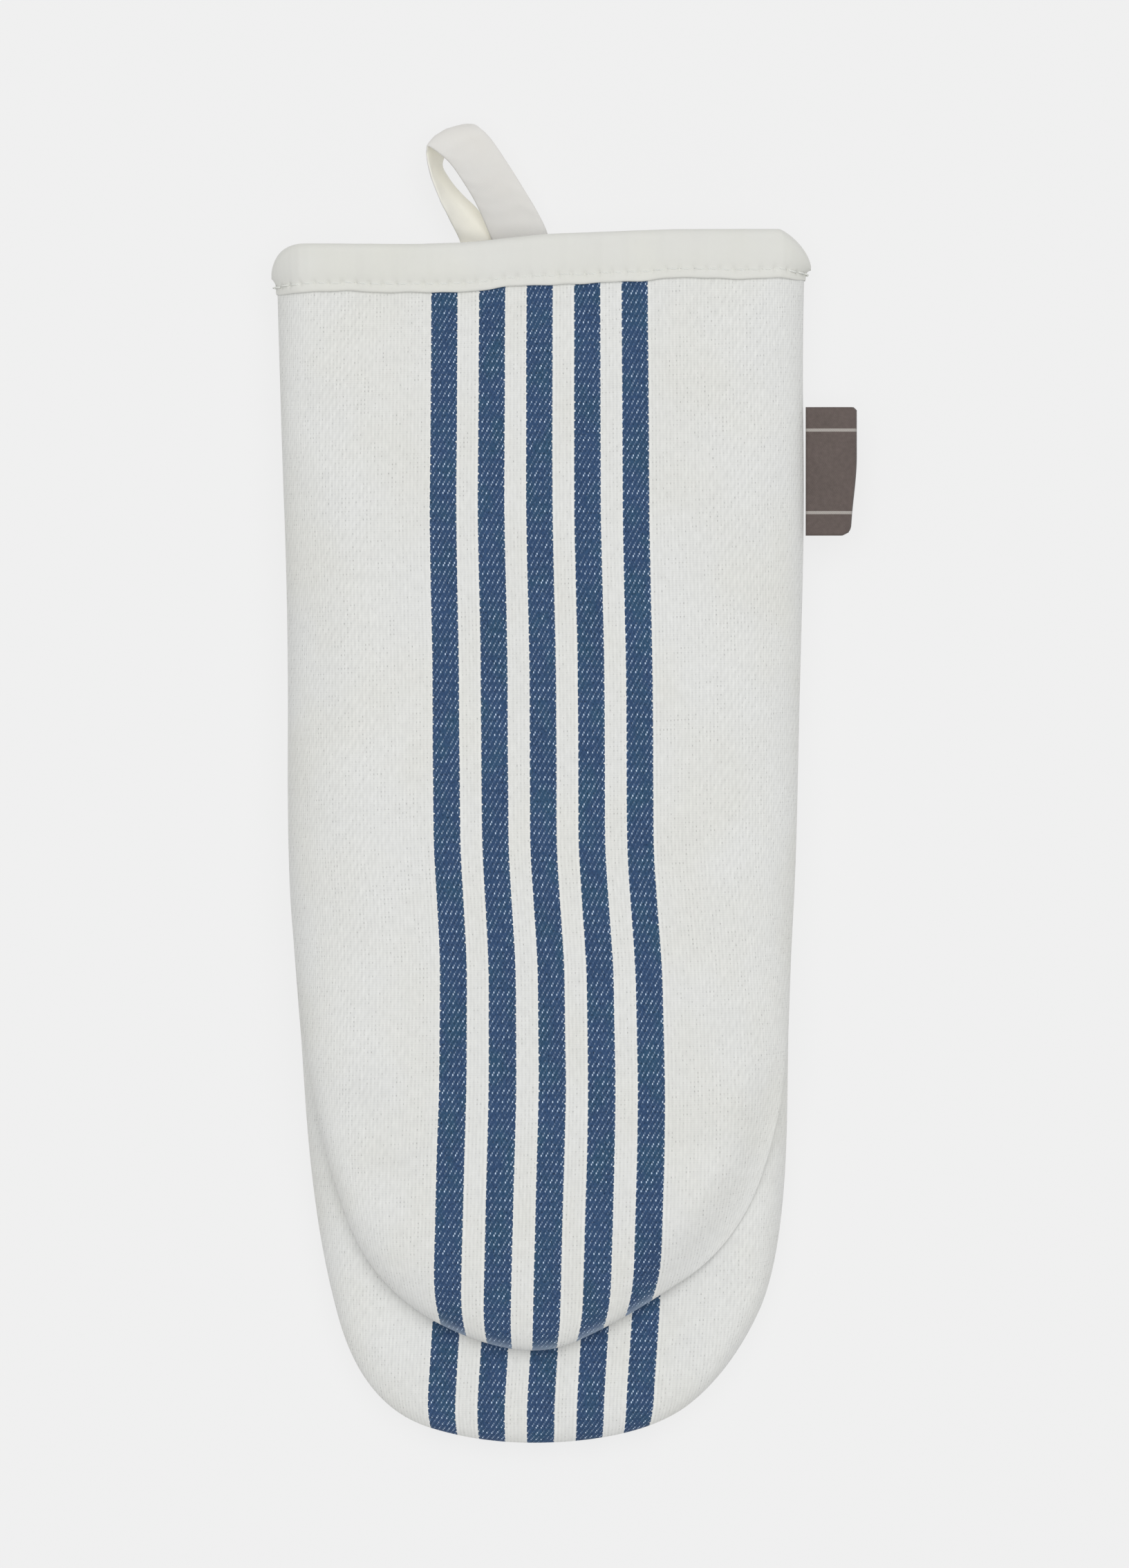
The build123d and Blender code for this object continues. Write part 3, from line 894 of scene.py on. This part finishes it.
def with_fold(points):
    """Adds rows that carry the palm from the finger pocket round the web to the thumb pocket."""
    first = points[0]
    radius = WEB_Z - first[:, 2]
    x, y = first[:, 0], first[:, 1]
    rows = [
        np.column_stack([x, y + radius * math.sin(turn), WEB_Z - radius * math.cos(turn)])
        for turn in FOLD_TURNS
    ]
    return np.concatenate([np.array(rows), points])


def fold_cloth(cloth):
    """Cloth coordinates of those rows, carried on past the first one."""
    rows = [cloth[0] + [0.0, FOLD_LENGTH * turn / math.pi] for turn in FOLD_TURNS]
    return np.concatenate([np.array(rows), cloth])


def layer(name, panel, top_depth, bottom_depth, material, drift, place, slot, nodes):
    """One closed layer of a panel."""
    top, bottom, cloth = panel.face(top_depth), panel.face(bottom_depth), panel.cloth(drift)
    if panel is palm_finger:
        top, bottom, cloth = with_fold(top), with_fold(bottom), fold_cloth(cloth)
    points, faces, cloth, places = closed_skin(top, bottom, cloth, panel.upward)
    turn = None
    # Within about 1.5 mm of the rim at the thumb tip the stripes are painted paler: stretched weave and a
    # painted highlight where the cloth turns over.
    if panel is front:
        turn = bell(panel.distance, 1.5) * smooth(panel.plan[..., 1], -125, -145)
        turn = turn.ravel()[places]
    piece = make_piece(name, points, faces, material, cloth, turn=turn)
    return settle(piece, place, slot, *nodes)


PANELS = {
    "back": (back, PALM_DRIFT, ride_on("hand"), ("back",)),
    "front": (front, STRIPE_DRIFT, bend_with_thumb, ("front_wrist", "front_crease", "front_thumb")),
    "palm_finger": (palm_finger, PALM_DRIFT, ride_on("hand"), ("palm_finger",)),
    "palm_thumb": (palm_thumb, PALM_DRIFT, bend_with_thumb, ("palm_thumb",)),
}
LAYERS = {
    "cloth": (0.0, SHELL - LAYER_GAP, TWILL, "striped_twill", "shell"),
    "batting": (SHELL, SHELL + PADDING - LAYER_GAP, BATTING, "batting", "padding"),
    "lining": (SHELL + PADDING, WALL, LINING, "lining_cotton", "lining"),
}
for region, (panel, drift, place, sources) in PANELS.items():
    for kind, (top, bottom, material, slot, ending) in LAYERS.items():
        nodes = [f"{source}_{ending}" for source in sources]
        piece = layer(f"{region}_{kind}", panel, top, bottom, material, drift, place, slot, nodes)

# ---- Cuff binding ----
MOUTH_Y = 145.0  # level that lengths round the cuff are measured at
RING_STEP = 0.42
STITCH_ROW_Y = 141.3

# The tape's outline from its lower edge over the cuff to its edge inside, as (y, depth): depth is
# below zero outside the cloth, and the cloth and lining take up 0 to WALL.
TAPE_OUTSIDE = [(139.0, -0.12), (138.75, -0.35), (138.72, -0.7), (138.95, -1.0), (139.4, -1.15)]
TAPE_OUTSIDE += [(140.1, -1.15), (140.8, -1.0), (STITCH_ROW_Y, -0.95), (141.8, -1.02), (142.6, -1.22)]
TAPE_OUTSIDE += [(143.6, -1.45), (144.9, -1.6), (146.3, -1.62), (147.7, -1.55), (149.0, -1.4)]
ROLL_Y = 149.6
ROLL_HEIGHT = 3.1
TAPE_INSIDE = [(148.4, 5.45), (146.4, 5.4), (144.2, 5.3), (142.4, 5.15), (STITCH_ROW_Y, 5.0)]
TAPE_INSIDE += [(140.4, 5.25), (139.6, 5.3), (139.1, 5.1), (138.95, 4.75), (139.1, 4.5), (139.5, 4.4)]
TAPE_UNDER = [(142, 4.36), (146, 4.36), (150, 4.36), (CUFF_Y + 0.1, 4.2), (CUFF_Y + 0.25, 2.1)]
TAPE_UNDER += [(CUFF_Y + 0.1, 0.1), (150, -0.06), (146, -0.06), (142, -0.06), (139.6, -0.06)]
DIMPLE_DEPTH = 0.78  # where the stitches pull the tape in
DIMPLE_RADIUS = 0.5
DIMPLE_ROW = 0.55  # how far the pull reaches across the tape
SIDE_THINNING = 0.72  # share of its thickness that the tape loses at the side seams
CLOTH_START = 400  # where the tape's cloth coordinates begin, clear of the panels' noise


def tape_outline():
    """The closed outline of the binding across its length, with the roll over the cuff's edge."""
    outside, inside = TAPE_OUTSIDE[-1][1], TAPE_INSIDE[0][1]
    middle, half = (outside + inside) / 2, (inside - outside) / 2
    roll = [
        (ROLL_Y + ROLL_HEIGHT * math.sin(turn) ** 0.8, middle - half * math.cos(turn))
        for turn in np.linspace(0.12, math.pi - 0.12, 15)
    ]
    return np.array(TAPE_OUTSIDE + roll + TAPE_INSIDE + TAPE_UNDER)


class Mouth:
    """Lines round the cuff, from the front's right edge over the left edge and back underneath."""

    def __init__(self):
        base = self.loop(MOUTH_Y, 0.0)
        self.places = lengths_along(np.vstack([base, base[:1]]))
        self.length = self.places[-1]

    @staticmethod
    def loop(y, depth):
        over, under = front.line_at(y, depth), back.line_at(y, depth)
        return np.concatenate([over, under[-2:0:-1]])

    def points(self, along, y, depth):
        """Points at these lengths round the cuff. y is level; depth may vary along the line."""
        at_face = self.loop(y, 0.0)
        per_depth = self.loop(y, 1.0) - at_face
        turn = np.mod(along, self.length)
        line = [
            np.interp(turn, self.places, np.append(each, each[0]))
            for each in (at_face[:, 0], at_face[:, 2], per_depth[:, 0], per_depth[:, 2])
        ]
        x, z = line[0] + depth * line[2], line[1] + depth * line[3]
        return np.column_stack([x, np.broadcast_to(y, x.shape), z])


mouth = Mouth()
STITCHES = round(mouth.length / STITCH_PITCH)
STITCH_SPACING = mouth.length / STITCHES


def round_the_cuff(length):
    """Smooth waves that meet themselves round the cuff, as numbers near -1 to 1."""
    turn = math.tau * length / mouth.length
    waves = ((3, 0.4, 0.9), (7, 2.0, 0.6), (13, 4.1, 0.5), (22, 1.1, 0.3), (37, 5.0, 0.2))
    return sum(size * np.sin(count * turn + start) for count, start, size in waves)


def edge_wander(along, y):
    """How far up the cuff the tape's lower edge strays; nothing at the tape's fold."""
    return 0.32 * round_the_cuff(along) * float(smooth(y, 146, 138.5))


def cuff_binding():
    """Tape folded over the cuff, dimpled where its stitches pull and billowing a little above them."""
    along = np.arange(0, mouth.length, RING_STEP)
    to_hole = np.abs(np.mod(along / STITCH_SPACING + 0.5, 1) - 0.5) * STITCH_SPACING
    outline = tape_outline()
    under = {tuple(map(float, each)) for each in TAPE_UNDER}
    edge_x = mouth.points(along, MOUTH_Y, 0.0)[:, 0]
    at_side = smooth(np.abs(edge_x - (edge_x.max() + edge_x.min()) / 2), 66, 73)
    lines, cloth = [], []
    travelled = lengths_along(outline)
    for (y, depth), distance in zip(outline, travelled):
        row = bell(y - STITCH_ROW_Y, DIMPLE_ROW)
        sign = 1.0 if depth < WALL / 2 else -1.0
        dimple = sign * row * (DIMPLE_DEPTH * bell(to_hole, DIMPLE_RADIUS) - 0.05)
        billow = float(smooth(y, 140.5, 143.5)) * (-0.22 * sign) * round_the_cuff(along + 31)
        if (y, depth) in under:
            billow, dimple = 0.0, 0.0
        if depth < 0:
            depth = depth * (1 - SIDE_THINNING * at_side * float(smooth(y, 149.5, 140.5)))
        line = mouth.points(along, y, depth + dimple + billow * 0.6)
        line[:, 1] += edge_wander(along, y)
        lines.append(line)
        cloth.append(np.column_stack([along, np.full(len(along), CLOTH_START + distance)]))
    points, cloth = cuff_warp(np.array(lines)), np.array(cloth)
    index = np.arange(points.shape[0] * points.shape[1]).reshape(points.shape[:2])
    after, beside = np.roll(index, -1, axis=0), np.roll(index, -1, axis=1)
    faces = np.stack([index, beside, np.roll(after, -1, axis=1), after], axis=-1).reshape(-1, 4)
    return make_piece(
        "cuff_binding_tape", points.reshape(-1, 3), faces.tolist(), BINDING_CLOTH, cloth.reshape(-1, 2)
    )


def cuff_stitches():
    """Running stitches round the cuff: each dips into the tape at both ends."""
    paths = []
    for side_depth, sign in ((-0.82, 1.0), (5.0, -1.0)):
        for number in range(STITCHES):
            middle = (number + 0.5) * STITCH_SPACING
            share = np.linspace(-1, 1, 9)
            sunk = sign * (0.62 * np.abs(share) ** 3 - 0.16)
            along = middle + share * (STITCH / 2 + 0.15)
            line = mouth.points(along, STITCH_ROW_Y, side_depth + sunk)
            slant = 0.10 * share + 0.08 * math.sin(number * 2.4)
            line[:, 1] += slant + edge_wander(along, STITCH_ROW_Y)
            paths.append(cuff_warp(line))
    return tubes("cuff_running_stitches", paths, THREAD_RADIUS, THREAD, sides=8)


settle(cuff_binding(), ride_on("hand"), "binding_cotton", "cuff_binding")
settle(cuff_stitches(), ride_on("hand"), "sewing_thread", "cuff_topstitch")


# ---- Hanging loop ----
# The tape's left and right edge at places along it: up the front leg, over the fold at the top,
# where it twists, and down the back leg.
LOOP_EDGES = [
    ((-19.8, 150.9, 8.8), (-4.6, 150.9, 8.8)),
    ((-20.6, 152.6, 9.2), (-4.9, 154.2, 9.3)),
    ((-22.6, 157.4, 10.4), (-7.6, 159.8, 10.2)),
    ((-25.2, 162.8, 12.4), (-11.6, 166.4, 11.8)),
    ((-28.4, 168.0, 14.8), (-16.0, 173.3, 13.6)),
    ((-31.7, 172.6, 16.9), (-20.2, 179.4, 14.8)),
    ((-35.1, 175.7, 18.0), (-23.4, 182.7, 14.9)),
    ((-38.0, 177.6, 17.3), (-25.6, 183.7, 11.8)),
    ((-38.4, 176.2, 16.0), (-28.0, 182.0, 7.6)),
    ((-38.3, 174.4, 15.4), (-32.2, 177.6, 4.6)),
    ((-37.8, 172.0, 15.2), (-34.2, 173.4, 3.4)),
    ((-36.9, 168.9, 15.0), (-32.4, 169.4, 3.3)),
    ((-35.6, 165.1, 14.4), (-29.3, 165.4, 3.6)),
    ((-33.5, 160.4, 12.8), (-24.6, 160.9, 4.4)),
    ((-31.3, 156.1, 10.2), (-21.4, 156.4, 5.8)),
    ((-29.6, 152.6, 8.0), (-18.4, 152.6, 7.6)),
    ((-29.0, 150.9, 7.6), (-17.6, 150.9, 7.6)),
]
TAPE = 1.15


def spline(stations, per_span):
    """Smooth line through the stations, each a row of numbers."""
    stations = np.array(stations, float)
    ends = np.vstack([2 * stations[0] - stations[1], stations, 2 * stations[-1] - stations[-2]])
    line = []
    for before, start, end, after in zip(ends, ends[1:], ends[2:], ends[3:]):
        for t in np.linspace(0, 1, per_span, endpoint=False):
            line.append(
                0.5 * (2 * start + (end - before) * t
                       + (2 * before - 5 * start + 4 * end - after) * t**2
                       + (3 * start - before - 3 * end + after) * t**3)
            )
    return np.array(line + [stations[-1]])


def ribbon(name, edges, thickness, materials, per_span=8, cup=0.0, crest=0.0, sides=28):
    """Flat tape between two edges, its own edges rounded and a little thicker than its middle."""
    line = spline([left + right for left, right in edges], per_span)
    left, right = line[:, :3], line[:, 3:]
    middle, half = (left + right) / 2, (right - left) / 2
    forward = np.gradient(middle, axis=0)
    upward = np.cross(half, forward)
    upward /= np.linalg.norm(upward, axis=1)[:, None]
    wide = np.linalg.norm(half, axis=1)
    length = lengths_along(middle)
    # Its section is a flat oval, out across the tape and rise through its thickness, both -1 to 1.
    turn = np.linspace(0, math.tau, sides, endpoint=False)
    out = np.sign(np.cos(turn)) * np.abs(np.cos(turn)) ** 0.45
    rise = np.sign(np.sin(turn)) * np.abs(np.sin(turn)) ** 0.6
    thick = thickness / 2 * (0.86 + 0.14 * np.abs(out) ** 2)
    slack = 0.16 * fine_ripple(length[:, None] + 9 * out[None, :], 6 * out[None, :] + length[:, None])
    share = np.linspace(0, 1, len(line))[:, None]
    bow = cup + crest * bell(share - 0.46, 0.08)
    lift = rise * thick + bow * (1 - out**2) + slack
    points = middle[:, None] + out[None, :, None] * half[:, None] + lift[..., None] * upward[:, None]
    cloth = np.dstack([out[None, :] * wide[:, None] + rise[None, :] * 0.5, length[:, None] + 0 * out[None]])
    quads, index = wrapped_quads(len(line), sides)
    quads = [[a, d, c, b] for a, b, c, d in quads]  # this skin is seen from the other side
    caps = [index[0].tolist(), index[-1][::-1].tolist()]
    # Faces on the tape's inner side take the second material, the copy painted with warm bounce light.
    inside = np.tile((rise + np.roll(rise, -1) < 0).astype(int), len(line) - 1).tolist() + [0, 0]
    outer, inner = materials
    piece = make_piece(
        name, points.reshape(-1, 3), quads + caps, outer, cloth.reshape(-1, 2), (inner,), inside
    )
    for cap in piece.data.polygons[-2:]:
        cap.use_smooth = False
    return piece


loop = ribbon("hanging_loop_tape", LOOP_EDGES, TAPE, (LOOP_CLOTH, LOOP_BOUNCE_LIT), cup=0.5, crest=1.3)
settle(loop, bend_at_the_cuff, "loop_tape", "hanging_loop")

END_LOW_Y = corner("hanging_loop_ends", 0, 1)
END_HIGH_Y = corner("hanging_loop_ends", 1, 1)
END_LOW_Z = corner("hanging_loop_ends", 0, 2)
END_HIGH_Z = corner("hanging_loop_ends", 1, 2)


def loop_end(name, start, z, materials):
    """Sewn-down end of the tape inside the cuff, carrying on from an end of the loop."""
    left, right = start
    edges = [start]
    for y in np.linspace(END_HIGH_Y - 1.5, END_LOW_Y, 5):
        edges.append(((left[0] + 0.3, y, z), (right[0] - 0.3, y, z)))
    return ribbon(name, edges, TAPE, materials, per_span=6)


# The ends' faces on the loop's inner side take the copy painted with warm bounce light.
back_end = loop_end("loop_end_back", LOOP_EDGES[-1], END_LOW_Z + TAPE / 2, (LOOP_CLOTH, LOOP_BOUNCE_LIT))
front_end = loop_end("loop_end_front", LOOP_EDGES[0], END_HIGH_Z - TAPE / 2, (LOOP_BOUNCE_LIT, LOOP_CLOTH))
settle(back_end, ride_on("hand"), "loop_tape", "hanging_loop_ends")
settle(front_end, ride_on("hand"), "loop_tape")

tack_low, tack_high = (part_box("loop_bar_tack")[i] / MM for i in (0, 1))
tack_rows = 9
tack_paths = []
for number in range(tack_rows):
    x = tack_low.x + (tack_high.x - tack_low.x) * (number + 0.5) / tack_rows
    share = np.linspace(-1, 1, 7)
    y = (tack_low.y + tack_high.y) / 2 + share * (tack_high.y - tack_low.y) / 2
    z = END_HIGH_Z + 0.12 - 0.5 * np.abs(share) ** 3
    tack_paths.append(np.column_stack([x + 0.25 * share * (-1) ** number, y, z]))
tack = tubes("loop_bar_tack_stitches", tack_paths, 0.28, THREAD)
settle(tack, ride_on("hand"), "sewing_thread", "loop_bar_tack")


# ---- Side label ----
LABEL_TAPER = 1.6  # how much shorter the label's lower corner is
LABEL_LOW_CORNER = 3.0
LABEL_HIGH_CORNER = 0.9
LABEL_SHEET = 0.34
LABEL_ROWS = 44
LABEL_COLUMNS = 20


def label():
    """Woven tape folded double, its cut ends in the side seam and its fold outside."""
    root = LABEL_ROOT_X - 0.3
    ys = np.linspace(LABEL_LOW_Y, LABEL_HIGH_Y, LABEL_ROWS)
    share = np.linspace(0, 1, LABEL_COLUMNS)
    lines, cloth = [], []
    for y in ys:
        end = LABEL_END_X - 0.15 - LABEL_TAPER * (1 - smooth(y, LABEL_LOW_Y, LABEL_LOW_Y + 22))
        below = max(0.0, 1 - (y - LABEL_LOW_Y) / LABEL_LOW_CORNER)
        above = max(0.0, 1 - (LABEL_HIGH_Y - y) / LABEL_HIGH_CORNER)
        end -= 0.8 * LABEL_LOW_CORNER * (1 - math.sqrt(1 - below**2))
        end -= LABEL_HIGH_CORNER * (1 - math.sqrt(1 - above**2))
        x = root + (end - root) * share
        lean = (x - root) / (LABEL_END_X - root)
        # It bows up a little, and its free end waves.
        bow = 0.35 * np.sin(lean * 2.6) + 0.25 * lean * math.sin((y - LABEL_LOW_Y) / 9.0)
        gap = 0.06 + 0.26 * np.sin(np.clip(lean, 0, 1) * math.pi) ** 1.5
        outer = LABEL_SHEET + gap * 0.5
        closing = np.sqrt(np.clip(1 - ((share - 0.965) / 0.035).clip(0, 1) ** 2, 0, 1))
        level = np.full(LABEL_COLUMNS, y)
        upper = np.column_stack([x, level, LABEL_Z + bow + outer * closing])
        lower = np.column_stack([x, level, LABEL_Z + bow - outer * closing])
        lines.append(np.concatenate([upper, lower[-2::-1]]))
        cloth.append(lines[-1][:, :2])
    points, cloth = np.array(lines), np.array(cloth)
    quads, index = wrapped_quads(*points.shape[:2])
    caps = []
    fold = LABEL_COLUMNS - 1
    for row, order in ((index[0].tolist(), 1), (index[-1].tolist(), -1)):
        for k in range(fold - 1):
            caps.append([row[k], row[-1 - k], row[-2 - k], row[k + 1]][::order])
        caps.append([row[fold - 1], row[fold + 1], row[fold]][::order])
    return make_piece("side_label_tape", points.reshape(-1, 3), quads + caps, LABEL, cloth.reshape(-1, 2))


settle(label(), ride_on("label"), "label_weave", "side_label")


# ---- Seam stitches ----
THREAD_INSET = 2.0


def seam_paths(panel, start_y, end_y):
    """Stitches along a panel's edge between two heights up the mitt, inset from the edge."""
    outline = np.concatenate([panel.plan[:, 0], panel.plan[-2::-1, -1]])
    inward = -np.concatenate([panel.outward[:, 3], panel.outward[-2::-1, -4]])
    line = outline + inward * THREAD_INSET
    line = np.column_stack([line, panel.seam_z(line[:, 1])])
    paths = []
    for start in np.arange(0, lengths_along(line)[-1] - STITCH, STITCH_PITCH):
        path = at_lengths(line, np.linspace(start, start + STITCH, 5))
        if end_y < path[:, 1].min() and path[:, 1].max() < start_y:
            paths.append(path)
    return paths


SEAMS = {
    "side_seam_stitches": (front, BINDING_Y, WEB_Y, ride_on("hand"), "side_seam_thread"),
    "finger_seam_stitches": (palm_finger, WEB_Y, -999, ride_on("hand"), "finger_seam_thread"),
    "thumb_seam_stitches": (palm_thumb, WEB_Y, -999, bend_with_thumb, "thumb_seam_thread"),
}
for name, (panel, start_y, end_y, place, node) in SEAMS.items():
    piece = tubes(name, seam_paths(panel, start_y, end_y), THREAD_RADIUS, THREAD, sides=6)
    settle(piece, place, "sewing_thread", node)

# ---- Floor, light and camera ----
VIEW_HEIGHT = 436.7  # of the framed area at the mitt, in millimetres
CAMERA_DISTANCE = 3000.0
FLOOR_SIZE = 3.0
FLOOR_Z = -0.0004
FLOOR_ALBEDO = 0.12
FLOOR_GLOW = 0.753  # the photograph's background holds no shadow
WORLD_STRENGTH = 0.50
scene = bpy.context.scene
scene.view_settings.view_transform = "Standard"

floor = bpy.data.meshes.new("floor")
floor_corners = ((-1, -1), (1, -1), (1, 1), (-1, 1))
floor.from_pydata(
    [(x * FLOOR_SIZE, y * FLOOR_SIZE, FLOOR_Z) for x, y in floor_corners], [], [(0, 1, 2, 3)]
)
floor_object = bpy.data.objects.new("floor", floor)
scene.collection.objects.link(floor_object)
paper = bpy.data.materials.new("paper")
paper.use_nodes = True
paper_shader = paper.node_tree.nodes["Principled BSDF"]
set_inputs(paper_shader, {"Base Color": (FLOOR_ALBEDO, FLOOR_ALBEDO, FLOOR_ALBEDO, 1)})
set_inputs(paper_shader, {"Roughness": 1.0, "Specular IOR Level": 0.0})
set_inputs(paper_shader, {"Emission Color": (1, 1, 1, 1), "Emission Strength": FLOOR_GLOW})
floor.materials.append(paper)

world = bpy.data.worlds.new("studio")
scene.world = world
world.use_nodes = True
set_inputs(world.node_tree.nodes["Background"], {"Color": (1, 1, 1, 1), "Strength": WORLD_STRENGTH})


def soft_sun(name, towards, strength, spread):
    """Even light from above, spread over that many degrees so that its shadows are soft."""
    lamp = bpy.data.lights.new(name, "SUN")
    lamp.energy, lamp.angle = strength, math.radians(spread)
    holder = bpy.data.objects.new(name, lamp)
    holder.rotation_euler = Vector(towards).to_track_quat("-Z", "Y").to_euler()
    scene.collection.objects.link(holder)


soft_sun("front_light", (-0.05, -0.16, -1.0), 1.52, 60)

camera = bpy.data.cameras.new("camera")
camera_object = bpy.data.objects.new("camera", camera)
camera_object.location = (0, 0, (CAMERA_DISTANCE + TOP_Z / 2) * MM)
camera.sensor_width = 36.0
camera.lens = camera.sensor_width * CAMERA_DISTANCE / VIEW_HEIGHT
camera.dof.use_dof = False
camera.clip_start, camera.clip_end = 0.05, 20.0
scene.collection.objects.link(camera_object)
scene.camera = camera_object
